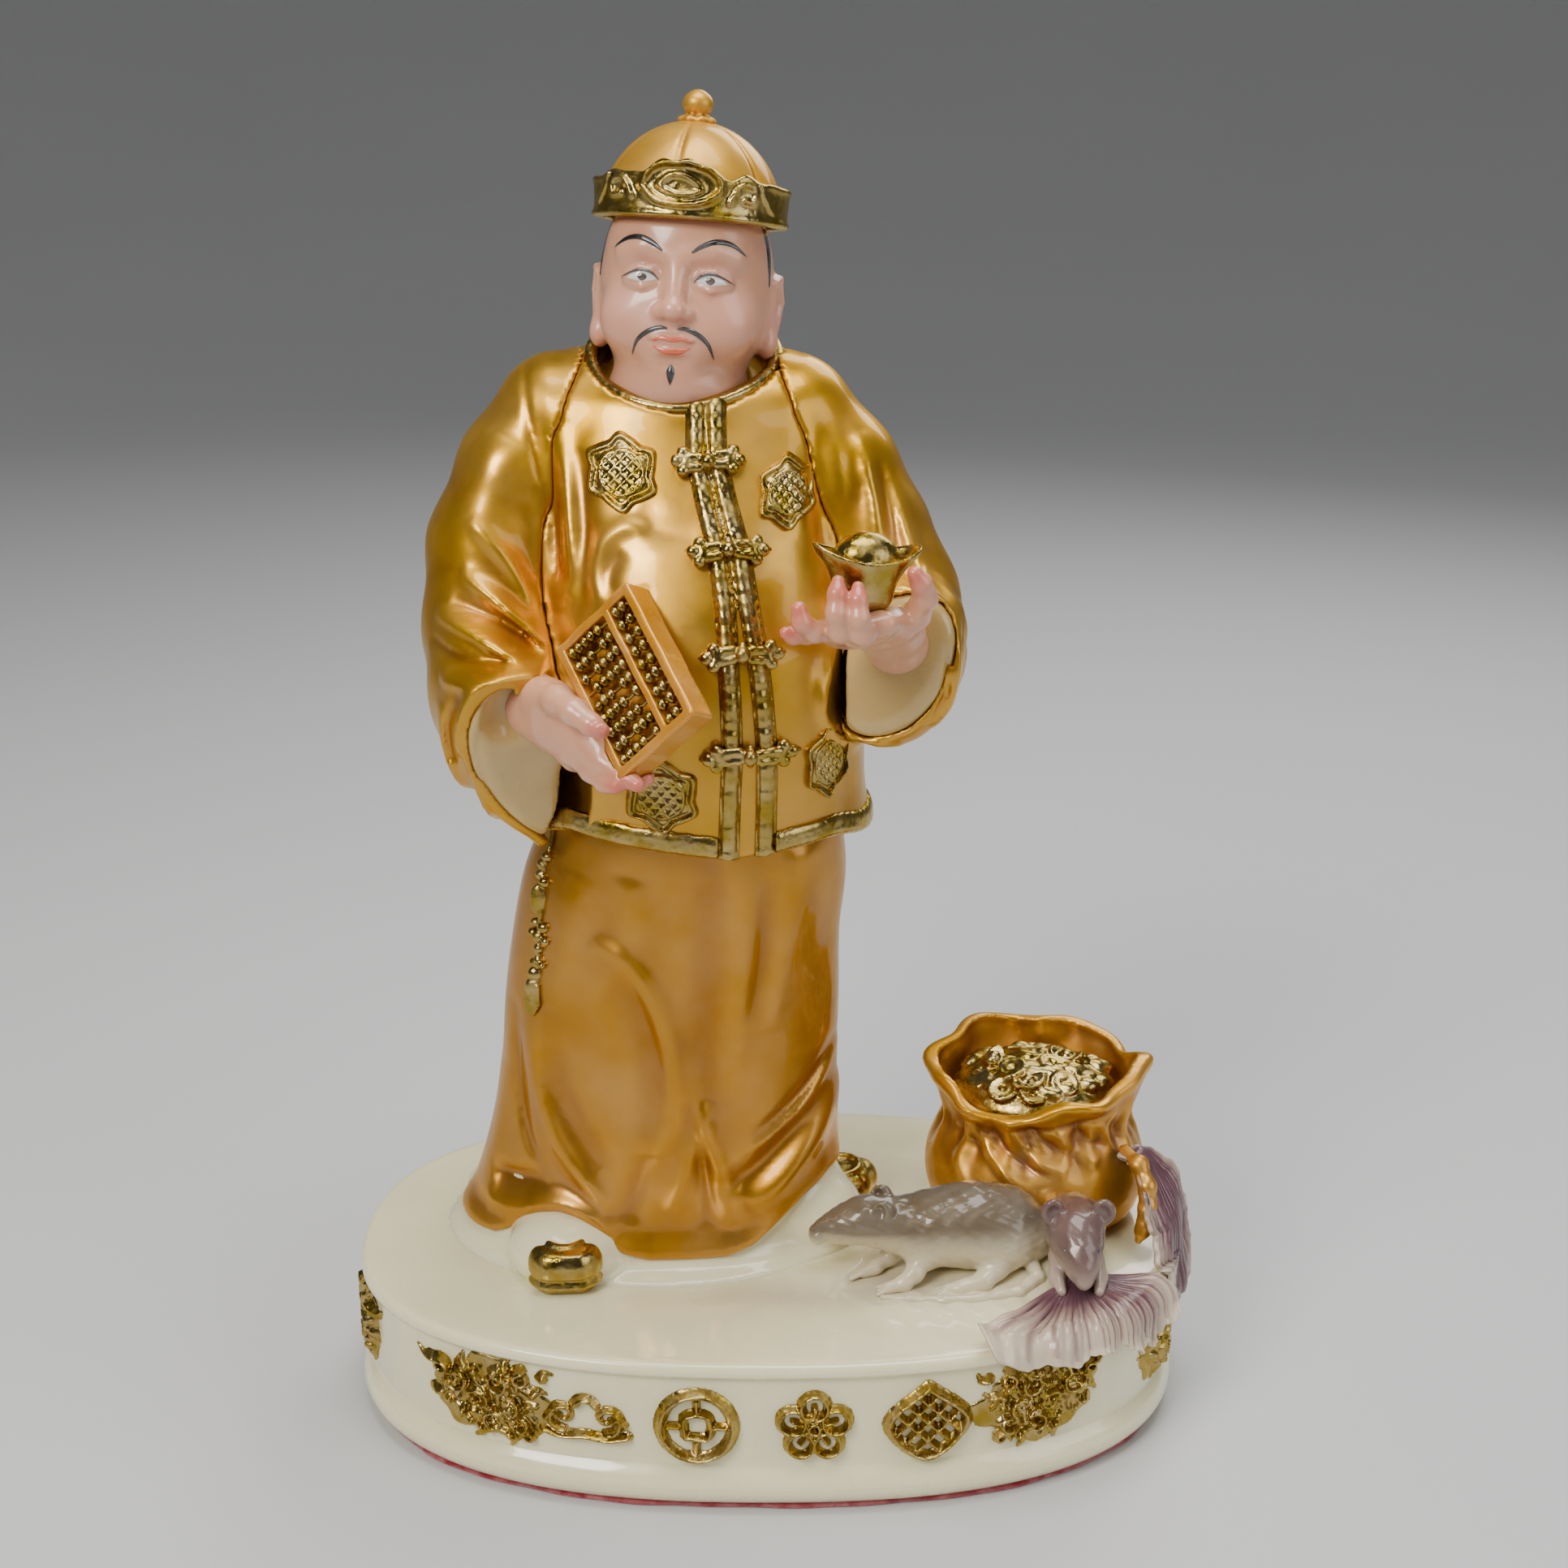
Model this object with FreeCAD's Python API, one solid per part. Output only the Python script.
# Merchant figurine in cast, painted resin, on an oval base, with two rats, a money bag and a draped leaf.
# Frame: millimetres, +Z up, the figure faces -Y, origin at the centre of the base's underside.
# Each casting is its own solid. Castings locate on pegs and sockets and are glued; nothing on the object moves.
import FreeCAD, Part
import math
import os

V = FreeCAD.Vector
os.makedirs("parts", exist_ok=True)

# ---------------------------------------------------------------- driving dimensions (mm)
BASE_A, BASE_B = 99.0, 64.0        # half length and half depth of the base at its top edge
BASE_N = 2.4                       # superellipse exponent of the base's plan
DECK_Z = 38.0                      # height of the base's top face
LIP_T = 3.6                        # thickness of the lip round the top
SKIRT_Z = 10.0                     # height of the flared foot moulding
BAND_IN = 1.8                      # how far the side band is recessed
FELT_T = 1.2                       # felt sheet under the base
CAVITY_WALL = 9.0                  # base wall round its cavity
CAVITY_TOP = 29.0                  # top of the base's cavity
GLUE = 0.15                        # glue line between castings
TRIM = 1.3                         # how far the gilded trims stand proud
GOWN_WALL = 7.0                    # wall of the hollow gown
GOWN_TOP = 158.0                   # top of the gown, inside the jacket
HEM_Z = 44.0                       # lower edge of the gown
JACKET_HEM = 145.5                 # height of the jacket's hem at y = 0
HEM_SLOPE = 4.6                    # degrees, the hem rises towards the belly
COLLAR_Z, COLLAR_TILT = 247.2, 22.0  # middle of the collar's seat and its forward tilt in degrees
COLLAR_RO, COLLAR_RI, COLLAR_H = 21.6, 18.3, 5.2
NECK_PEG_R, NECK_PEG_L = 8.0, 18.0 # peg under the head
ARM_PEG_R, ARM_PEG_L = 5.0, 9.0    # pegs on the sleeves
WRIST_PEG_R = 4.0                  # pegs on the hands
HEAD_C = (-17.5, 0.0, 266.0)       # centre of the head
HEAD_YAW, HEAD_PITCH, HEAD_ROLL = -5.0, 7.0, 3.5   # degrees
ABACUS_C = (-29.8, -51.5, 191.6)   # centre of the abacus's face
ABACUS_L, ABACUS_W, ABACUS_T = 34.7, 23.1, 7.0
ABACUS_DL = (0.418, -0.657, -0.626)  # its long direction
ABACUS_DW = (0.6786, -0.2297, 0.6973)  # its short direction
RODS, BEADS_UP, BEADS_DOWN = 9, 2, 5
ROD_R, BEAD_R = 0.5, 1.25
INGOT_C = (20.0, -50.0, 216.5)     # middle of the ingot's rim
BAG_C = (66.8, 11.0)               # the money bag's centre on the deck

out = {}


def ring(cx, cy, z, a, bf, bb, n=2.2, off=0.0, N=32, fold=None):
    """Closed horizontal curve, half width a, half depth bf to the front and bb to the back."""
    pts = []
    for i in range(N):
        t = 2 * math.pi * i / N
        c, s = math.cos(t), math.sin(t)
        e = 2.0 / n
        o = off + (fold(t, z) if fold else 0.0)
        x = (a + o) * math.copysign(abs(c) ** e, c)
        b = bb if s > 0 else bf
        y = (b + o) * math.copysign(abs(s) ** e, s)
        pts.append(V(cx + x, cy + y, z))
    return wire(pts)


def wire(pts):
    bs = Part.BSplineCurve()
    bs.interpolate(pts, PeriodicFlag=True)
    return Part.Wire(bs.toShape())


def loft(wires):
    s = Part.makeLoft(wires, True, False)
    if s.Volume < 0:
        s.reverse()
    return s


def interp(table, z):
    """Linear interpolation in a table of rows (z, values...)."""
    rows = sorted(table)
    if z <= rows[0][0]:
        return rows[0][1:]
    for r0, r1 in zip(rows, rows[1:]):
        if z <= r1[0]:
            t = (z - r0[0]) / (r1[0] - r0[0])
            return tuple(p + (q - p) * t for p, q in zip(r0[1:], r1[1:]))
    return rows[-1][1:]


def table_loft(table, zs, off=0.0, n=2.2, fold=None, N=32):
    ws = []
    for z in zs:
        cx, cy, a, bf, bb = interp(table, z)
        ws.append(ring(cx, cy, z, a, bf, bb, n, off, N, fold))
    return loft(ws)


def unit(v):
    v = V(v)
    v.normalize()
    return v


def tube(rows, up=(0, 0, 1), N=16, n=2.0):
    """Loft along a spine. rows: (x, y, z, half width across, half height), sections square to the spine."""
    ctr = [V(*r[:3]) for r in rows]
    ws = []
    for i, r in enumerate(rows):
        d = unit(ctr[min(i + 1, len(rows) - 1)] - ctr[max(i - 1, 0)])
        u = V(*up)
        side = d.cross(u)
        if side.Length < 1e-3:
            side = V(1, 0, 0)
        side.normalize()
        top = side.cross(d)
        pts = []
        e = 2.0 / n
        for k in range(N):
            t = 2 * math.pi * k / N
            c, s = math.cos(t), math.sin(t)
            pts.append(ctr[i] + side * (r[3] * math.copysign(abs(c) ** e, c)) + top * (r[4] * math.copysign(abs(s) ** e, s)))
        ws.append(wire(pts))
    return loft(ws)


def rod(p0, p1, r):
    p0, p1 = V(*p0), V(*p1)
    return Part.makeCylinder(r, (p1 - p0).Length, p0, p1 - p0)


def ball(c, r):
    return Part.makeSphere(r, V(*c))


def egg(c, rx, ry, rz, rot=None):
    """Ellipsoid, with optional (axis, degrees) turn about its centre."""
    s = Part.makeSphere(1.0)
    m = FreeCAD.Matrix()
    m.scale(rx, ry, rz)
    s = s.transformGeometry(m)
    if rot:
        s.rotate(V(0, 0, 0), V(*rot[0]), rot[1])
    s.translate(V(*c))
    return s


def fuse(parts):
    s = parts[0]
    if len(parts) > 1:
        s = s.fuse(list(parts[1:]))
    return s


def biggest(s):
    sol = sorted(s.Solids, key=lambda q: -q.Volume)
    return sol[0] if sol else s


def cut(a, *bs):
    for b in bs:
        a = a.cut(b)
    return a


def keep(name, shape, one=True, least=0.2):
    sol = [s for s in shape.Solids if s.Volume > least]
    sol.sort(key=lambda q: -q.Volume)
    if one:
        sol = sol[:1]
    s = sol[0] if len(sol) == 1 else Part.makeCompound(sol)
    out[name] = s
    b = s.BoundBox
    print("%-22s solids %d valid %s vol %.2f cm3  x %.1f..%.1f y %.1f..%.1f z %.1f..%.1f" % (
        name, len(sol), s.isValid(), sum(q.Volume for q in sol) / 1000, b.XMin, b.XMax, b.YMin, b.YMax, b.ZMin, b.ZMax))
    return s


# ---------------------------------------------------------------- base
def base_ring(z, off):
    return ring(0, 0, z, BASE_A, BASE_B, BASE_B, BASE_N, off, 40)


def base_loft(rows):
    return loft([base_ring(z, o) for z, o in rows])


LIP_Z = DECK_Z - LIP_T
skirt = base_loft([(FELT_T, -2.4), (3.0, -0.4), (5.5, 0.9), (8.0, 0.7), (SKIRT_Z, -0.6), (11.2, -BAND_IN)])
band = base_loft([(11.2, -BAND_IN), (LIP_Z, -BAND_IN)])
lip = base_loft([(LIP_Z, -0.4), (LIP_Z + 0.6, 0.0), (DECK_Z - 1.0, 0.0), (DECK_Z, -0.9)])
base = fuse([skirt, band, lip])
cavity = base_loft([(FELT_T, -CAVITY_WALL), (CAVITY_TOP, -CAVITY_WALL - 3)])

# ---------------------------------------------------------------- gown
# z, centre x, centre y, half width, half depth front, half depth back
GOWN = [
    (44, -27.5, 9.0, 46.5, 34.5, 38.0), (50, -26.8, 8.5, 45.0, 33.0, 36.0), (58, -25.8, 7.5, 43.4, 32.0, 34.5),
    (70, -24.6, 6.5, 41.6, 31.5, 33.0), (85, -23.5, 5.5, 40.6, 31.5, 32.0), (100, -22.7, 4.5, 40.0, 32.0, 32.0),
    (116, -21.5, 3.0, 38.8, 32.5, 32.0), (133, -19.0, 1.5, 37.6, 32.5, 32.0), (147, -17.0, 0.5, 34.2, 32.0, 30.5), (GOWN_TOP, -16.5, 0.0, 32.5, 30.0, 29.0)]


def gown_fold(t, z):
    k = max(0.0, (95.0 - z) / 51.0)
    return k * k * (1.6 * math.cos(5 * t + 0.6) + 0.8 * math.cos(9 * t + 2.0))


GZ = [44, 48, 54, 62, 72, 84, 98, 112, 126, 138, 147, GOWN_TOP]
gown_outer = table_loft(GOWN, GZ, 0.0, 2.2, gown_fold, 40)
gown_inner = table_loft(GOWN, [43.8, 60, 80, 100, 120, 140], -GOWN_WALL, 2.2)
gown_shell = table_loft(GOWN, GZ, TRIM, 2.2, gown_fold, 40)

# locating boss on the deck fits the gown's hollow
boss = table_loft([(z, *v) for z, *v in [(37.0, *interp(GOWN, 44)), (50.0, *interp(GOWN, 50))]], [37.0, 44.0, 49.5],
                  -GOWN_WALL - GLUE - 0.6, 2.2)
petticoat_out = table_loft([(38, -27.5, 9.0, 50.0, 37.5, 40.5), (41, -27.3, 9.0, 47.6, 35.5, 38.8), (44, -27.3, 9.0, 45.6, 33.8, 37.2)],
                           [38, 41, 44], 0.0, 2.2, gown_fold, 40)
petticoat_in = table_loft(GOWN, [36, 46], -GOWN_WALL, 2.2)

# ---------------------------------------------------------------- jacket
JACKET = [
    (136, -15.6, -1.0, 38.2, 38.0, 33.5), (150, -15.2, -2.0, 37.6, 39.0, 34.0), (165, -14.8, -2.5, 37.0, 41.0, 34.0),
    (180, -14.6, -2.5, 36.4, 42.0, 34.0), (195, -15.0, -2.0, 35.4, 41.0, 33.5), (208, -16.0, -1.0, 34.4, 37.5, 32.5),
    (220, -17.0, 0.0, 33.6, 32.5, 31.5), (230, -18.0, 1.5, 33.0, 28.5, 29.0), (238, -19.0, 2.5, 32.0, 25.0, 26.0),
    (245, -19.3, 3.4, 29.5, 22.0, 23.5), (250, -19.2, 4.2, 24.5, 17.5, 20.5), (254, -19.0, 5.0, 17.0, 12.0, 16.0)]
JZ = [136, 144, 156, 168, 180, 192, 204, 215, 226, 235, 242, 247, 251, 254]
jacket_outer = table_loft(JACKET, JZ, 0.0, 2.25)
jacket_shell = table_loft(JACKET, JZ, TRIM, 2.25)
hem_floor = Part.makeBox(200, 200, 40, V(-115, -100, -40))
hem_floor.rotate(V(0, 0, 0), V(1, 0, 0), -HEM_SLOPE)
hem_floor.translate(V(0, 0, JACKET_HEM))
gown_room = table_loft(GOWN, [126, 140, 146, GOWN_TOP + GLUE], GLUE, 2.2)

# ---------------------------------------------------------------- sleeves, cuffs
SLEEVE_R = [(-31, 4, 240, 10, 14), (-45, 4, 236.5, 14.2, 18), (-53, 4, 225, 15, 21), (-59.5, 2, 208, 16, 23), (-61, -4, 190, 15.5, 24), (-58.5, -16, 177, 15, 24), (-54, -26, 170, 13.5, 25), (-50.5, -33, 167, 12.5, 26)]
SLEEVE_L = [(-8, 4, 240, 10, 14), (5, 4, 236.5, 13.5, 17), (14, 4, 224, 15, 20), (22, 1, 211, 14, 20), (27.5, -5, 197, 15, 20), (29.5, -15, 189, 14, 19), (29, -24, 188, 12.5, 18.5), (27.5, -30, 188.5, 11.5, 18)]


def sleeve(rows, shrink=0.0, first=0, grow=0.0):
    sel = rows[first:]
    return tube([(x, y, z, w - shrink + grow, h - shrink + grow) for x, y, z, w, h in sel], up=(0, -0.35, 1) if first == 0 else (0, 0, 1), N=20, n=2.15)


sleeve_r = tube(SLEEVE_R, up=(0, -1, 0.45), N=20, n=2.15)
sleeve_l = tube(SLEEVE_L, up=(0, -1, 0.45), N=20, n=2.15)


def inner(rows, k, shrink, extend):
    """The last k rows made smaller and carried past the sleeve's mouth."""
    sel = [list(r) for r in rows[-k:]]
    a, b = V(*sel[-2][:3]), V(*sel[-1][:3])
    d = unit(b - a)
    e = b + d * extend
    sel.append([e.x, e.y, e.z, sel[-1][3], sel[-1][4]])
    return [(x, y, z, w - shrink, h - shrink) for x, y, z, w, h in sel]


mouth_r = tube(inner(SLEEVE_R, 3, 2.2, 6.0), up=(0, -1, 0.45), N=20, n=2.15)
mouth_l = tube(inner(SLEEVE_L, 3, 2.2, 6.0), up=(0, -1, 0.45), N=20, n=2.15)
cuff_r0 = tube(inner(SLEEVE_R, 3, 2.4, 2.2), up=(0, -1, 0.45), N=20, n=2.15)
cuff_l0 = tube(inner(SLEEVE_L, 3, 2.4, 2.2), up=(0, -1, 0.45), N=20, n=2.15)

ARM_PEGS = [((-34, 2, 222), (-49, 2, 222)), ((2, 2, 222), (16, 2, 220))]
peg_r = rod(*ARM_PEGS[0], ARM_PEG_R)
peg_l = rod(*ARM_PEGS[1], ARM_PEG_R)
peg_r_hole = rod((-33, 2, 222), (-49, 2, 222), ARM_PEG_R + GLUE)
peg_l_hole = rod((1, 2, 222), (16, 2, 220), ARM_PEG_R + GLUE)
WRISTS = [((-52.5, -22.0, 171.0), (-46.0, -39.0, 179.0)), ((28.5, -18.0, 190.0), (26.5, -36.0, 196.0))]



# ---------------------------------------------------------------- base
keep("base_plinth", cut(fuse([base, boss]), cavity))
keep("felt_pad", base_loft([(0.0, -2.6), (FELT_T, -2.2)]))

shoe_r = tube([(-46.5, -12, 43, 8.0, 5.0), (-47.0, -20, 43.6, 8.6, 5.7), (-47.6, -27, 44.0, 8.7, 6.0), (-48.0, -32, 43.6, 8.0, 5.5), (-48.2, -35.5, 42.6, 5.2, 3.8)], N=20, n=2.6)
shoe_l = tube([(14.0, 24, 43.0, 7.5, 4.8), (16.5, 16, 43.6, 8.0, 5.6), (18.6, 9.5, 43.8, 7.8, 5.6), (19.8, 5.5, 43.2, 6.6, 4.8), (20.4, 3.2, 42.6, 4.2, 3.4)], N=20, n=2.6)
below_deck = Part.makeBox(300, 200, 40, V(-150, -100, DECK_Z - 40))
shoe_r, shoe_l = cut(shoe_r, below_deck, boss), cut(shoe_l, below_deck, boss)
keep("petticoat", cut(petticoat_out, petticoat_in, shoe_r, shoe_l))
gown = keep("gown", cut(gown_outer, gown_inner, shoe_r, shoe_l))
keep("shoe_right", shoe_r)
keep("shoe_left", shoe_l)

# ---------------------------------------------------------------- jacket
DL, DW = unit(ABACUS_DL), unit(ABACUS_DW)
DW = unit(DW - DL * DW.dot(DL))
DN = unit(DL.cross(DW))
AC = V(*ABACUS_C)


def ab(l, w, n):
    return AC + DL * l + DW * w + DN * n


def ab_box(l0, l1, w0, w1, n0, n1):
    pts = [ab(l0, w0, n0), ab(l1, w0, n0), ab(l1, w1, n0), ab(l0, w1, n0)]
    return Part.Face(Part.makePolygon(pts + pts[:1])).extrude(DN * (n1 - n0))


HL, HW = ABACUS_L / 2, ABACUS_W / 2
abacus_room = ab_box(-HL - GLUE, HL + GLUE, -HW - GLUE, HW + GLUE, -ABACUS_T - GLUE, GLUE)

collar_cyl = Part.makeCylinder(COLLAR_RO, 30, V(0, 0, 0))
collar_cyl.rotate(V(0, 0, 0), V(1, 0, 0), COLLAR_TILT)
collar_cyl.translate(V(-18.2, 1.0, COLLAR_Z))
head_room = egg((0, 0, 0), 18.9, 20.8, 27.0)
head_pl = FreeCAD.Placement(V(*HEAD_C), FreeCAD.Rotation(V(0, 0, 1), HEAD_YAW).multiply(FreeCAD.Rotation(V(0, 1, 0), HEAD_ROLL)).multiply(FreeCAD.Rotation(V(1, 0, 0), -HEAD_PITCH)))


def on_head(s):
    s = s.copy()
    s.Placement = head_pl.multiply(s.Placement)
    return s


HEAD = [(-25.5, 0, -9, 4.5, 5, 5), (-23.5, 0, -8, 9, 9, 9), (-19.5, 0, -5, 13.2, 13, 13), (-13.5, 0, -1.5, 16.4, 17.2, 17.5), (-6, 0, 0, 18, 19.4, 20),
        (2, 0, 0, 18.4, 20, 20.6), (10, 0, 0, 18.3, 19.8, 20.6), (16.5, 0, 0, 18.0, 19.2, 20.2)]
head_hole = on_head(head_room)
head_body = on_head(table_loft(HEAD, [r[0] for r in HEAD], GLUE, 2.1, None, 28))
neck_peg = on_head(Part.makeCylinder(NECK_PEG_R, 24 + NECK_PEG_L, V(0, 1.5, -24 - NECK_PEG_L)))
neck_hole = on_head(Part.makeCylinder(NECK_PEG_R + GLUE, 26 + NECK_PEG_L, V(0, 1.5, -25 - NECK_PEG_L)))
peg_r_hole = rod((-30, 2, 222), (-60, 2, 222), ARM_PEG_R + GLUE)
peg_l_hole = rod((-2, 2, 222), (28, 2, 218.8), ARM_PEG_R + GLUE)
jacket = keep("jacket", cut(jacket_outer, hem_floor, gown_room, collar_cyl, head_body, neck_hole, peg_r_hole, peg_l_hole, abacus_room))

collar = Part.makeCylinder(COLLAR_RO - GLUE, COLLAR_H, V(0, 0, GLUE))
collar = collar.makeFillet(1.2, [e for e in collar.Edges if e.BoundBox.ZMin > COLLAR_H * 0.9 and e.BoundBox.XLength > 1])
collar = collar.cut(Part.makeCylinder(COLLAR_RI, 40, V(0, 0, -10)))
collar.rotate(V(0, 0, 0), V(1, 0, 0), COLLAR_TILT)
collar.translate(V(-18.2, 1.0, COLLAR_Z))
keep("collar", cut(collar, head_hole, head_body))

body_room = table_loft(JACKET, JZ, GLUE, 2.25)
sr = biggest(cut(sleeve_r, body_room, collar_cyl))
sl = biggest(cut(sleeve_l, body_room, collar_cyl))
sr = biggest(fuse([sr, rod((-36.0, 2, 222), (-58, 2, 222), ARM_PEG_R)]))
sl = biggest(fuse([sl, rod((4.0, 2, 221.36), (24, 2, 219.23), ARM_PEG_R)]))
keep("sleeve_right", biggest(cut(sr, mouth_r)))
keep("sleeve_left", biggest(cut(sl, mouth_l)))
cuff_hole_r = rod(*WRISTS[0], WRIST_PEG_R + GLUE)
cuff_hole_l = rod(*WRISTS[1], WRIST_PEG_R + GLUE)
trim_room = table_loft(JACKET, JZ, TRIM + 0.3, 2.25)
keep("cuff_right", biggest(cut(cuff_r0, trim_room, cuff_hole_r)))
keep("cuff_left", biggest(cut(cuff_l0, trim_room, cuff_hole_l, out["sleeve_left"])))


def surf_y(table, x, z, n=2.25, off=0.0):
    cx, cy, a, bf, bb = interp(table, z)
    k = min(1.0, abs(x - cx) / (a + off)) ** n
    return cy - (bf + off) * (1 - k) ** (1.0 / n)


def prism(xz, y0=-80.0, y1=-4.0):
    """Outline in x and z, carried along y."""
    pts = [V(x, y0, z) for x, z in xz]
    f = Part.Face(Part.makePolygon(pts + pts[:1]))
    return f.extrude(V(0, y1 - y0, 0))


skin = cut(jacket_shell, jacket_outer, hem_floor)
PLACKET = [(-12.9, 240), (-12.8, 233), (-10.6, 224), (-8.1, 215.5), (-6.4, 205), (-5.1, 195), (-4.2, 184), (-3.6, 173), (-4.0, 160), (-4.6, 140)]


def strip(c0, c1):
    return [(x + c0, z) for x, z in PLACKET] + [(x + c1, z) for x, z in reversed(PLACKET)]


placket_l = prism(strip(-5.9, -1.1))
placket_r = prism(strip(1.1, 5.9))
hem_low = hem_floor.copy()
hem_low.translate(V(0, 0, 5.2))
placket = skin.common(fuse([placket_l, placket_r]))
placket = cut(placket, collar_cyl, hem_low)
keep("placket", placket, one=False)
hem_trim = skin.common(hem_low)
hem_trim = cut(hem_trim, prism([(-5.7, 120), (-3.5, 120), (-3.5, 170), (-5.7, 170)]), sleeve_r, cuff_r0)
keep("hem_trim", hem_trim, one=False)


def lobed(r, k=6, d=0.16, N=48):
    return [((r * (1 + d * abs(math.cos(k * t / 2)) - d / 2)) * math.sin(t), (r * (1 + d * abs(math.cos(k * t / 2)) - d / 2)) * math.cos(t)) for t in [2 * math.pi * i / N for i in range(N)]]


def stamp(outline, x, z, depth=9.0):
    """Outline carried along the jacket's own normal at x, z on its front."""
    y = surf_y(JACKET, x, z)
    dx = (surf_y(JACKET, x + 0.5, z) - surf_y(JACKET, x - 0.5, z))
    dz = (surf_y(JACKET, x, z + 0.5) - surf_y(JACKET, x, z - 0.5))
    nrm = unit((dx, -1.0, dz))
    u = unit(V(0, 0, 1).cross(nrm) * -1)
    if u.x < 0:
        u = u * -1
    w = unit(nrm.cross(u) * -1)
    if w.z < 0:
        w = w * -1
    c = V(x, y, z)
    pts = [c + u * p + w * q - nrm * depth for p, q in outline]
    return Part.Face(Part.makePolygon(pts + pts[:1])).extrude(nrm * (2 * depth))


MEDALLIONS = [(-30.8, 230.0, 8.0), (4.6, 225.6, 7.8), (-22.5, 163.5, 8.0), (13.6, 168.0, 7.8)]
med = [biggest(skin.common(stamp(lobed(r), x, z))) for x, z, r in MEDALLIONS]
keep("medallions", cut(Part.makeCompound(med), sleeve_r, sleeve_l, placket_l, placket_r), one=False)

FROGS = [(-12.4, 232.6), (-8.1, 215.4), (-5.1, 194.8), (-3.5, 173.0)]
frogs = []
plk = table_loft(JACKET, JZ, TRIM, 2.25)
for i, (x, z) in enumerate(FROGS):
    half = 7.0 + 0.9 * i
    rows = [(x + k * half, surf_y(JACKET, x + k * half, z, off=TRIM) - 0.9, z + 0.35 * math.cos(6 * k), w, h)
            for k, w, h in ((-1.12, 0.8, 0.6), (-0.98, 2.6, 1.5), (-0.72, 2.4, 1.5), (-0.4, 1.2, 1.1), (0.0, 1.9, 1.6), (0.4, 1.2, 1.1), (0.72, 2.4, 1.5), (0.98, 2.6, 1.5), (1.12, 0.8, 0.6))]
    frogs.append(biggest(cut(tube([(a, b, c, h, w) for a, b, c, w, h in rows], up=(0, 0, 1), N=16), plk)))
keep("frog_buttons", Part.makeCompound(frogs), one=False)

# ---------------------------------------------------------------- head and cap
head = table_loft(HEAD, [r[0] for r in HEAD], 0.0, 2.1, None, 28)
nose = tube([(0, -18.5, 4.5, 1.6, 1.2), (0, -20.4, 0.0, 2.2, 1.9), (0, -21.6, -4.0, 3.0, 2.6), (0, -20.4, -6.6, 2.6, 1.4)], up=(0, -1, 0.3), N=14)
ears = [egg((s * 18.6, 2.5, -4.0), 2.6, 4.6, 8.6, ((0, 1, 0), s * -6)) for s in (-1, 1)]
eyes = [egg((s * 7.6, -17.6, 2.8), 3.6, 1.9, 2.0) for s in (-1, 1)]
lips = egg((0, -18.6, -11.0), 4.6, 1.9, 1.5)
step = Part.makeCylinder(9.0, 3.0, V(0, 0, 16.4))
head = fuse([head, nose] + ears + eyes + [lips, step])
head = fuse([on_head(head), neck_peg])
keep("head", head)
CAP = [(14.8, 0, 0, 19.6, 20.8, 21.8), (20, 0, 0.2, 19.3, 20.4, 21.4), (25, 0, 0.4, 17.6, 18.6, 19.4), (29.5, 0, 0.6, 13.8, 14.6, 15.2), (32.6, 0, 0.7, 9.0, 9.5, 9.8), (34.4, 0, 0.8, 3.6, 3.8, 3.8)]
crown = table_loft(CAP, [r[0] for r in CAP], 0.0, 2.0, lambda t, z: 0.35 * abs(math.cos(3 * t)) * (1 if z < 30 else 0.4), 36)
crown = cut(crown, fuse([table_loft(HEAD, [r[0] for r in HEAD], GLUE, 2.1, None, 28), Part.makeCylinder(9.0 + GLUE, 3.2, V(0, 0, 16.4))]), Part.makeCylinder(1.9, 6, V(0, 0.8, 31)))
keep("cap_crown", on_head(crown))
bandz = [(13.4, 0, 0, 21.0, 22.2, 23.2), (16.5, 0, 0, 21.6, 22.9, 23.9), (20.5, 0, 0.1, 21.2, 22.4, 23.3), (23.0, 0, 0.2, 20.0, 21.2, 22.0)]
band_out = table_loft(bandz, [r[0] for r in bandz], 0.0, 2.0, None, 28)
crest = tube([(0, -18.0, 22.0, 9.5, 4.4), (0, -21.0, 21.4, 9.2, 4.6), (0, -23.4, 20.6, 7.5, 3.6), (0, -24.2, 20.4, 4.0, 1.6)], up=(0, 0, 1), N=20)
cap_band = cut(fuse([band_out, crest]), table_loft(HEAD, [r[0] for r in HEAD], GLUE, 2.1, None, 28),
               table_loft([(z, x, y, a, f, b) for z, x, y, a, f, b in CAP], [r[0] for r in CAP], 0.5, 2.0, None, 28), Part.makeCylinder(17.5, 40, V(0, 0, 0)), Part.makeBox(60, 60, 10, V(-30, -30, 3.3)))
keep("cap_band", on_head(cap_band))
prof = [(0.0, 31.2), (1.8, 31.2), (1.8, 34.2), (4.4, 34.0), (4.0, 35.0), (3.1, 35.8), (3.6, 37.4), (3.5, 38.9), (2.6, 40.2), (1.2, 40.9), (0.0, 41.0)]
face = Part.Face(Part.makePolygon([V(x, 0, z) for x, z in prof] + [V(prof[0][0], 0, prof[0][1])]))
finial = face.revolve(V(0, 0, 0), V(0, 0, 1), 360)
finial.translate(V(0, 0.8, 0.2))
keep("cap_finial", on_head(cut(finial, crown)))

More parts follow.
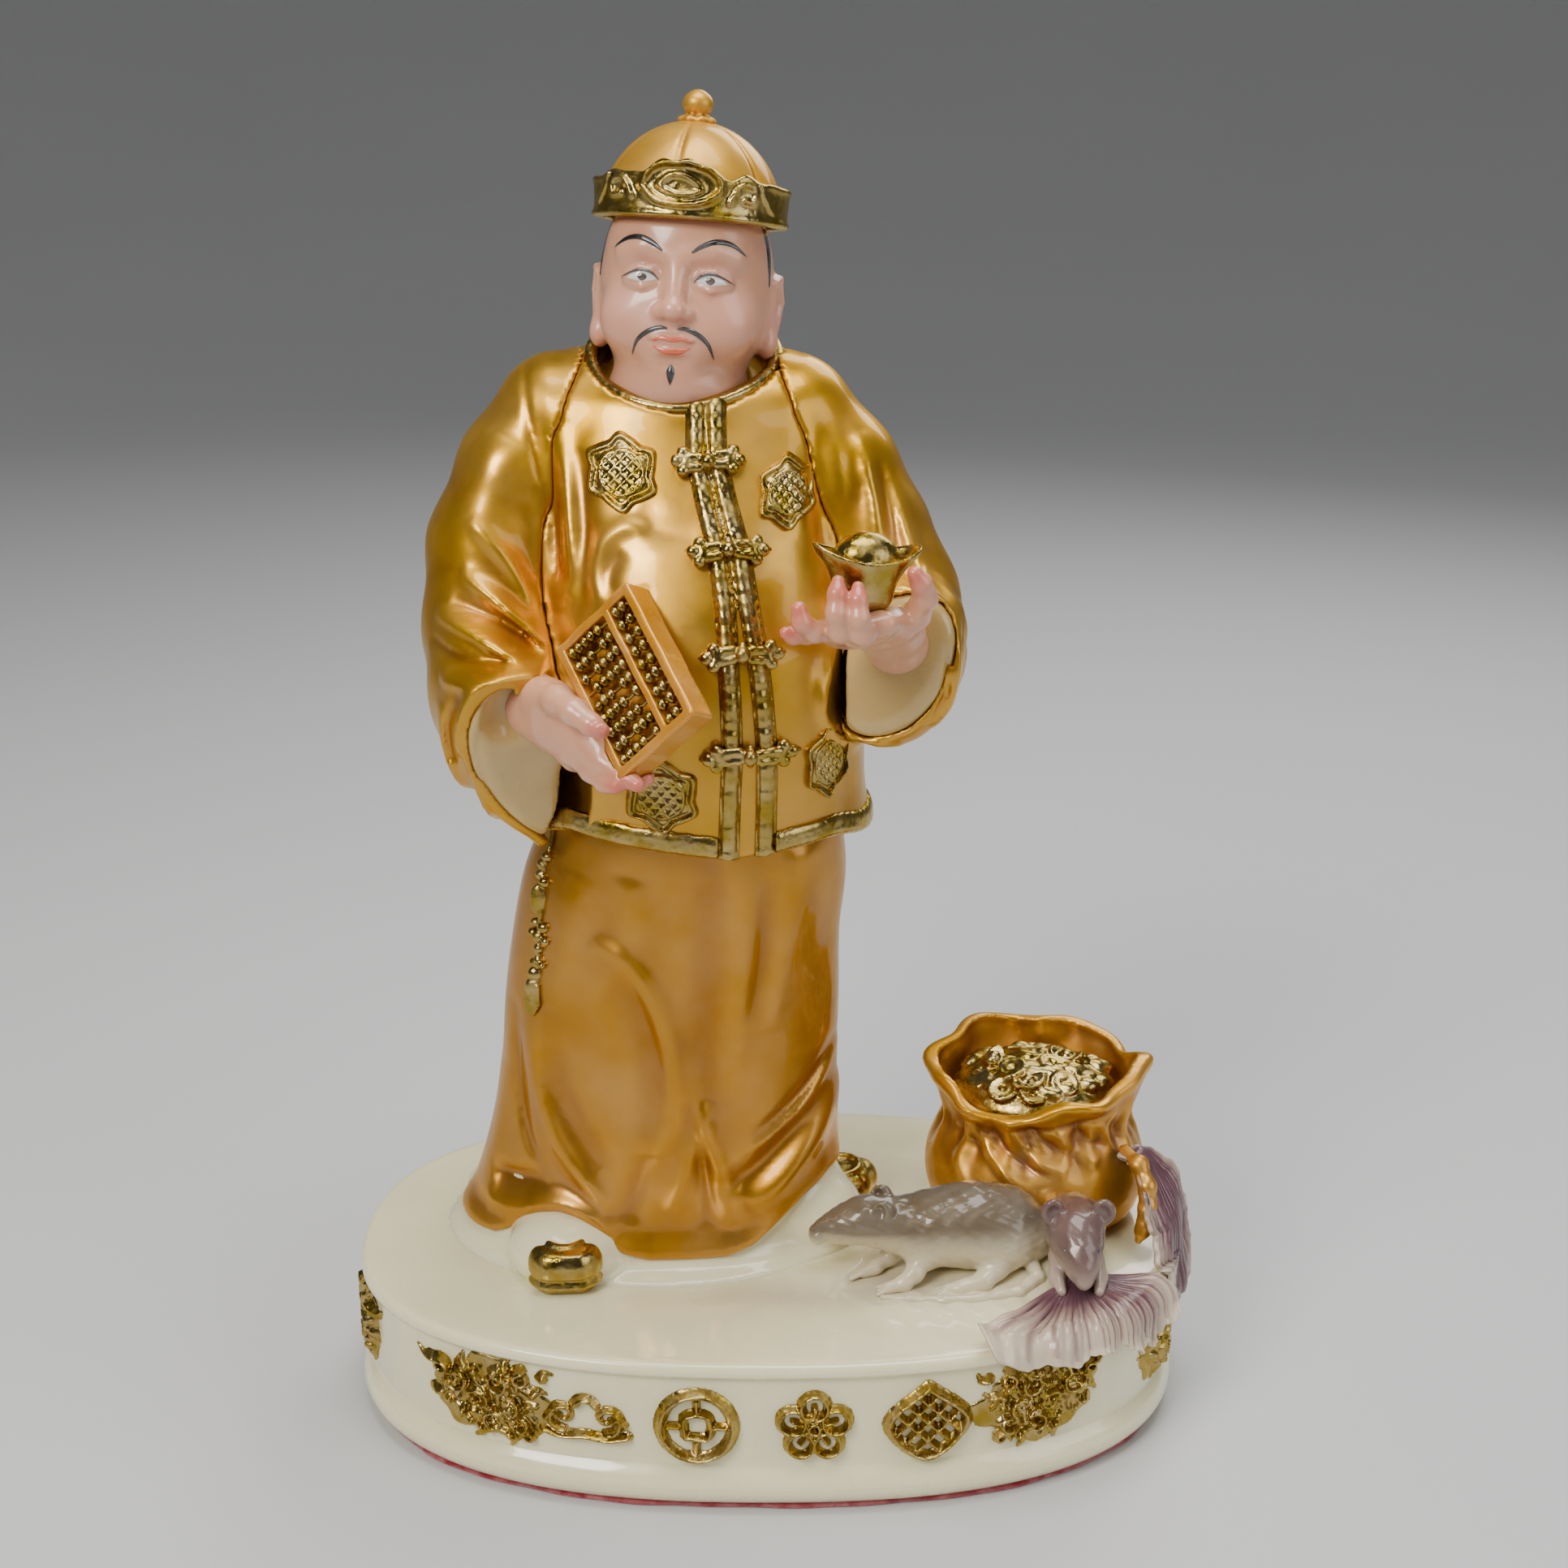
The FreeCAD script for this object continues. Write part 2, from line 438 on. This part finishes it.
# ---------------------------------------------------------------- abacus
RIM = 2.1
BEAM = 3.6                          # the beam's middle, from the frame's middle line
abacus_frame = cut(ab_box(-HL, HL, -HW, HW, -ABACUS_T, 0.0), ab_box(-HL + RIM, HL - RIM, -HW + RIM, BEAM - 0.8, -4.6, 0.5), ab_box(-HL + RIM, HL - RIM, BEAM + 0.8, HW - RIM, -4.6, 0.5))
rods, beads = [], []
pitch = (ABACUS_L - 2 * RIM - 2.6) / (RODS - 1)
for i in range(RODS):
    l = -HL + RIM + 1.3 + i * pitch
    rods.append(Part.makeCylinder(ROD_R, ABACUS_W - 2.2, ab(l, -HW + 1.1, -1.9), DW))
    spans = [(-HW + RIM, BEAM - 0.8, BEADS_DOWN), (BEAM + 0.8, HW - RIM, BEADS_UP)]
    for w0, w1, k in spans:
        for j in range(k):
            w = w0 + 0.95 + j * 1.95 + (0.9 if (i * 7 + j * 3) % 5 < j else 0.0) * (1 if k == BEADS_DOWN else 0.4)
            if w + 0.9 > w1:
                continue
            b = Part.makeCone(BEAD_R, BEAD_R * 0.55, 0.85, V(0, 0, 0), V(0, 0, 1)).fuse(Part.makeCone(BEAD_R, BEAD_R * 0.55, 0.85, V(0, 0, 0), V(0, 0, -1)))
            b = b.cut(Part.makeCylinder(ROD_R, 6, V(0, 0, -3)))
            b.Placement = FreeCAD.Placement(ab(l, w, -1.9), FreeCAD.Rotation(V(0, 0, 1), DW))
            beads.append(b)
rod_set = Part.makeCompound(rods)
abacus_frame = cut(abacus_frame, *rods)
keep("abacus_frame", abacus_frame)
keep("abacus_rods", rod_set, one=False)
keep("abacus_beads", Part.makeCompound(beads), one=False, least=0.05)

# ---------------------------------------------------------------- hands and ingot
hand_r = fuse([
    tube([(-52.5, -33.5, 176.5, 5.4, 6.2), (-48.5, -39.0, 179.0, 5.4, 6.6), (-44.0, -43.0, 180.5, 5.0, 7.4), (-39.0, -47.0, 179.5, 4.4, 7.6), (-33.0, -50.5, 176.5, 3.6, 7.0), (-28.5, -53.0, 174.0, 2.8, 5.6)], N=18),
    tube([(-44.0, -46.0, 185.0, 2.8, 3.0), (-41.0, -51.5, 186.0, 2.7, 2.8), (-37.5, -56.2, 185.0, 2.4, 2.4), (-34.0, -58.8, 183.5, 2.1, 1.9), (-32.0, -59.6, 182.6, 1.1, 0.9)], N=14),
])
wrist_peg_r = rod((-50.0, -28.5, 173.6), (-47.0, -36.5, 177.8), WRIST_PEG_R)
hand_r = biggest(cut(fuse([hand_r, wrist_peg_r]), abacus_room))
keep("hand_right", biggest(cut(hand_r, out["cuff_right"], out["sleeve_right"], trim_room)))


def ingot_ring(z, a, b, lift, N=24):
    pts = []
    for i in range(N):
        t = 2 * math.pi * i / N
        c, s = math.cos(t), math.sin(t)
        pts.append(V(INGOT_C[0] + a * c, INGOT_C[1] + b * s, INGOT_C[2] + z + lift * c * c))
    return wire(pts)


ingot = loft([ingot_ring(-10.5, 5.2, 3.6, 0.0), ingot_ring(-8.5, 5.9, 4.3, 0.0), ingot_ring(-4.5, 6.8, 5.2, 0.0), ingot_ring(-1.6, 8.2, 6.2, 0.0), ingot_ring(1.0, 10.4, 7.0, 0.0), ingot_ring(4.2, 11.6, 6.4, 0.0)])
saddle = Part.makeCylinder(24.0, 40.0, V(INGOT_C[0], INGOT_C[1] - 20.0, INGOT_C[2] + 24.2), V(0, 1, 0))
ingot = biggest(fuse([cut(ingot, saddle), egg((INGOT_C[0], INGOT_C[1], INGOT_C[2] + 0.2), 5.6, 4.6, 5.4)]))
ingot.rotate(V(*INGOT_C), V(0, 0, 1), 14.0)
ingot.rotate(V(*INGOT_C), V(0, 1, 0), 5.0)
keep("ingot", ingot)
ix, iy, iz = INGOT_C
hand_l = fuse([
    tube([(27.5, -30.0, 193.5, 5.4, 5.2), (26.0, -36.0, 196.5, 5.6, 5.0), (24.0, -42.0, 200.0, 6.6, 4.4), (21.0, -48.0, 202.0, 7.4, 4.0), (16.0, -53.0, 202.5, 6.8, 3.4), (11.5, -56.0, 203.0, 4.0, 2.4)], up=(0, 0, 1), N=18),
    tube([(28.0, -42.0, 202.0, 3.0, 2.8), (30.0, -46.0, 206.5, 2.6, 2.5), (30.0, -49.5, 210.5, 2.3, 2.2), (28.6, -52.0, 213.0, 1.9, 1.8), (27.8, -53.0, 214.2, 0.9, 0.8)], up=(1, 0, 0), N=12),
    tube([(12.0, -53.0, 203.0, 2.2, 2.2), (8.4, -54.5, 205.5, 2.0, 2.0), (7.2, -54.5, 209.0, 1.8, 1.8), (8.2, -54.0, 211.5, 1.3, 1.3)], up=(1, 0, 0), N=12),
    tube([(14.5, -55.5, 203.0, 2.2, 2.2), (12.0, -58.0, 205.5, 2.1, 2.1), (11.5, -58.4, 210.0, 1.9, 1.9), (12.8, -57.8, 213.5, 1.3, 1.3)], up=(1, 0, 0), N=12),
    tube([(17.5, -55.0, 202.5, 2.2, 2.2), (16.5, -58.8, 205.5, 2.1, 2.1), (16.5, -59.0, 209.0, 1.9, 1.9), (17.2, -58.4, 211.6, 1.3, 1.3)], up=(1, 0, 0), N=12),
])
hand_l = fuse([hand_l, rod((28.5, -22.0, 191.4), (27.0, -33.0, 194.9), WRIST_PEG_R)])
keep("hand_left", biggest(cut(hand_l, ingot, out["cuff_left"], trim_room)))

# ---------------------------------------------------------------- belt pendant
def gown_pt(x, z, off):
    y = surf_y(GOWN, x, z, 2.2)
    dx = surf_y(GOWN, x + 0.5, z, 2.2) - surf_y(GOWN, x - 0.5, z, 2.2)
    nrm = unit((dx, -1.0, 0.0))
    return V(x, y, z) + nrm * off


P = [(-48.3, 144.5, 0.9, 0.9), (-48.8, 141.0, 0.9, 0.9), (-49.2, 137.5, 1.6, 1.6), (-49.8, 134.5, 2.1, 1.7), (-50.3, 131.5, 1.3, 1.2), (-50.8, 127.5, 2.4, 2.2), (-51.2, 123.5, 3.0, 2.6),
     (-51.6, 119.5, 1.5, 1.4), (-52.0, 116.5, 2.6, 1.8), (-52.3, 113.5, 1.2, 1.2), (-52.6, 110.8, 2.0, 1.6), (-53.0, 107.6, 2.4, 1.8), (-53.6, 104.4, 1.6, 1.3), (-54.4, 102.0, 0.6, 0.6)]
rows = []
for x, z, w, h in P:
    c = gown_pt(x, z, 0.9)
    rows.append((c.x, c.y, c.z, w, h))
pendant = cut(tube(rows, up=(-0.8, -0.6, 0), N=16), gown_outer, hem_trim, out["jacket"])
keep("belt_pendant", biggest(pendant))

# ---------------------------------------------------------------- money bag
BAG = [(38.0, 22.5, 20.5), (42, 25.5, 23.5), (49, 27.0, 25.0), (55, 26.0, 24.0), (60, 23.6, 21.6), (63, 22.4, 20.4), (67, 23.6, 21.4), (73, 25.0, 22.5), (79.5, 24.5, 21.5)]


def bag_fold(t, z):
    k = max(0.0, 1 - abs(z - 63.0) / 12.0)
    return 0.7 * k * math.cos(11 * t + 0.5) + (1.0 * math.cos(5 * t + 1.0) if z > 76 else 0.0)


bag_rows = [(z, BAG_C[0], BAG_C[1], a, b, b) for z, a, b in BAG]
bag = table_loft(bag_rows, [r[0] for r in bag_rows], 0.0, 2.1, bag_fold, 44)
mouth = table_loft([(72.0, BAG_C[0], BAG_C[1], 15.0, 13.0, 13.0), (75, BAG_C[0], BAG_C[1], 19.0, 17.0, 17.0), (81, BAG_C[0], BAG_C[1], 22.4, 19.4, 19.4)], [72.0, 75, 81], 0.0, 2.1, None, 28)
bag_open = keep("money_bag", cut(bag, mouth))
heap = table_loft([(72.15, BAG_C[0], BAG_C[1], 14.6, 12.6, 12.6), (75, BAG_C[0], BAG_C[1], 18.6, 16.6, 16.6), (78, BAG_C[0], BAG_C[1], 17.8, 15.6, 15.6), (81, BAG_C[0], BAG_C[1], 11.0, 10.0, 10.0), (82.4, BAG_C[0], BAG_C[1], 4.0, 4.0, 4.0)],
                  [72.15, 75, 78, 81, 82.4], 0.0, 2.1, None, 28)
keep("bag_treasure", biggest(cut(heap, bag_open)))

cord_end = tube([(88.0, -8.0, 58.0, 1.5, 1.5), (90.0, -12.5, 57.5, 1.8, 1.8), (91.2, -15.5, 53.5, 2.0, 2.0), (91.0, -17.0, 48.5, 1.9, 1.9), (89.6, -17.6, 44.6, 1.6, 1.6), (88.6, -17.6, 43.0, 0.7, 0.7)], up=(0, 0, 1), N=14)
keep("bag_tail", biggest(cut(cord_end, bag)))

# ---------------------------------------------------------------- rats
rat = fuse([
    tube([(10.4, -23.5, 49.6, 0.9, 0.9), (12.5, -23.4, 49.8, 2.2, 2.0), (17.0, -23.0, 50.6, 4.0, 3.8), (22.5, -22.5, 51.6, 5.4, 5.2), (28.0, -22.0, 50.6, 5.8, 5.6), (34.0, -21.5, 48.8, 7.0, 7.0),
          (41.0, -21.0, 48.6, 8.6, 8.8), (49.0, -20.5, 49.2, 9.8, 10.4), (57.0, -19.5, 48.4, 9.2, 10.0), (62.5, -18.5, 46.6, 6.6, 7.6), (65.5, -18.0, 45.2, 2.6, 3.0)], N=20),
    egg((26.5, -18.0, 55.6), 3.0, 1.6, 3.2), egg((27.0, -26.6, 55.2), 3.0, 1.6, 3.2),
    tube([(36.5, -27.0, 46.0, 3.4, 3.0), (33.5, -30.0, 42.0, 2.6, 2.2), (31.0, -31.5, 39.6, 2.2, 1.5), (27.5, -32.6, 39.0, 1.4, 0.9)], up=(0, -1, 0), N=12),
    tube([(56.0, -26.0, 46.0, 5.0, 5.6), (53.5, -29.5, 42.2, 3.4, 3.4), (50.5, -31.0, 39.8, 2.6, 1.7), (45.0, -32.0, 39.2, 1.6, 1.0)], up=(0, -1, 0), N=12),
    tube([(63.0, -21.0, 42.5, 1.8, 1.8), (64.0, -27.0, 40.2, 1.6, 1.6), (60.0, -33.5, 39.4, 1.4, 1.4), (51.0, -37.0, 39.2, 1.25, 1.25), (41.0, -37.5, 39.1, 1.1, 1.1), (32.0, -35.8, 38.9, 0.8, 0.8), (27.5, -35.2, 38.7, 0.5, 0.5)], up=(0, 0, 1), N=12),
])
rat = biggest(cut(rat, below_deck, gown_outer, petticoat_out, shoe_l, bag))
keep("rat_large", rat)
rat2 = fuse([
    tube([(72.5, -38.8, 45.4, 1.4, 1.4), (72.3, -37.2, 46.6, 3.4, 3.0), (72.0, -33.8, 49.4, 5.4, 4.8), (71.6, -29.0, 51.8, 6.6, 6.0), (71.8, -23.0, 51.0, 7.0, 7.0), (73.0, -17.0, 48.0, 7.4, 8.0), (74.0, -12.0, 45.0, 5.0, 6.0)], up=(0, 0, 1), N=18),
    egg((65.6, -28.0, 56.6), 2.6, 1.6, 3.2), egg((77.6, -28.0, 57.4), 2.6, 1.6, 3.4),
])
rat2 = biggest(cut(rat2, below_deck, rat, bag))
keep("rat_small", rat2)

# ---------------------------------------------------------------- leaves draped over the base's edge
def wrap(d0, d1, z0, z1):
    """Skin between d0 and d1 outside the base's edge, from z0 up to z1 above the deck."""
    o = loft([base_ring(z0, d1 - 0.4), base_ring(z0 + 4, d1), base_ring(DECK_Z - 1.0, d1), base_ring(DECK_Z + d1 * 0.7, d1 - 1.4), base_ring(DECK_Z + z1, d1 - 6.0)])
    i = loft([base_ring(z0 - 5, d0), base_ring(DECK_Z - 0.8, d0), base_ring(DECK_Z + d0, d0 - 0.8)])
    return o.cut(i)


def plan(pts, z0=20.0, z1=60.0):
    q = [V(x, y, z0) for x, y in pts]
    return Part.Face(Part.makePolygon(q + q[:1])).extrude(V(0, 0, z1 - z0))


leaf_skin = wrap(0.1, 2.9, 28.5, 3.6)
fan = [(61.0, -30.0), (50.0, -50.0), (45.0, -61.0), (40.0, -72.0), (56.0, -74.0), (74.0, -70.0), (92.0, -58.0), (104.0, -40.0), (108.0, -22.0), (96.0, -20.0), (84.0, -24.0), (76.0, -28.0)]
leaf = leaf_skin.common(plan(fan))
leaf = biggest(cut(leaf, rat, rat2, bag, cord_end, base))
keep("leaf_front", leaf)
leaf2 = tube([(90.5, -6.0, 58.0, 2.4, 1.6), (93.5, -9.0, 54.0, 5.4, 1.7), (97.0, -12.0, 48.0, 8.2, 1.7), (100.0, -13.0, 41.5, 9.6, 1.5), (102.3, -13.5, 34.0, 8.6, 1.3), (102.4, -13.5, 28.0, 5.4, 1.0)], up=(1, 0, 0.3), N=20)
leaf2 = biggest(cut(leaf2, bag, leaf, base, cord_end, rat2))
keep("leaf_back", leaf2)

# ---------------------------------------------------------------- gilded relief on the base's side
relief_skin = cut(loft([base_ring(11.6, 0.5), base_ring(LIP_Z - 0.1, 0.5)]), base)
relief_skin = cut(relief_skin, leaf, leaf2)


def disc(cx, cz, r, N=20):
    return [(cx + r * math.cos(2 * math.pi * i / N), cz + r * math.sin(2 * math.pi * i / N)) for i in range(N)]


def turned_prism(xz, ang, r0=20.0, r1=130.0):
    """Outline in local x and z, carried outwards along the direction ang, measured from -Y towards +X, in degrees."""
    a = math.radians(ang)
    d = V(math.sin(a), -math.cos(a), 0)
    u = V(math.cos(a), math.sin(a), 0)
    pts = [u * x + V(0, 0, z) + d * r0 for x, z in xz]
    return Part.Face(Part.makePolygon(pts + pts[:1])).extrude(d * (r1 - r0))


SCROLL_L = [(-17, 28), (-14, 31), (-10, 31.5), (-5, 32.5), (0, 32), (4, 30), (8, 32.8), (13, 33), (14.5, 30.5), (11, 28.5), (7, 27), (6, 22), (7, 18), (11, 15), (12.5, 12.8), (8, 12.2), (3, 13), (-3, 13.5), (-7, 16), (-10, 19), (-14, 22), (-17, 25)]
scroll_left = relief_skin.common(prism([(-64.5 + x, z) for x, z in SCROLL_L]))
scroll_right = relief_skin.common(prism([(63.0 - x, z) for x, z in SCROLL_L]))
keep("scroll_left", biggest(scroll_left))
keep("scroll_right", biggest(scroll_right))
END = [(-10, 26), (-7, 31), (-2, 33), (4, 32.5), (8, 29), (9, 24), (6, 18), (3, 13), (-2, 12.5), (-6, 16), (-9, 20)]
keep("scroll_end_left", biggest(relief_skin.common(turned_prism([(x + 17.0, z) for x, z in END], -90))))
keep("scroll_end_right", biggest(relief_skin.common(turned_prism([(x - 25.0, z) for x, z in END], 90))))
motifs = [relief_skin.common(prism(lobed_at)) for lobed_at in (
    [(-41.0 + x, 21.8 + z) for x, z in [(-9.5, -1.5), (-6, 2.5), (0, 4.5), (6, 2.5), (9.5, -1.5), (6, -4.5), (0, -5.5), (-6, -4.5)]],
    disc(-15.8, 21.8, 9.0), [(10.6 + x, 21.8 + z) for x, z in lobed(9.0, 5, 0.22)],
    [(36.2 + x, 21.8 + z) for x, z in [(0, 9.5), (9.5, 0), (0, -9.5), (-9.5, 0)]])]
keep("base_motifs", Part.makeCompound([biggest(m) for m in motifs]), one=False)

for n, s in out.items():
    s.exportStep("parts/%s.step" % n)
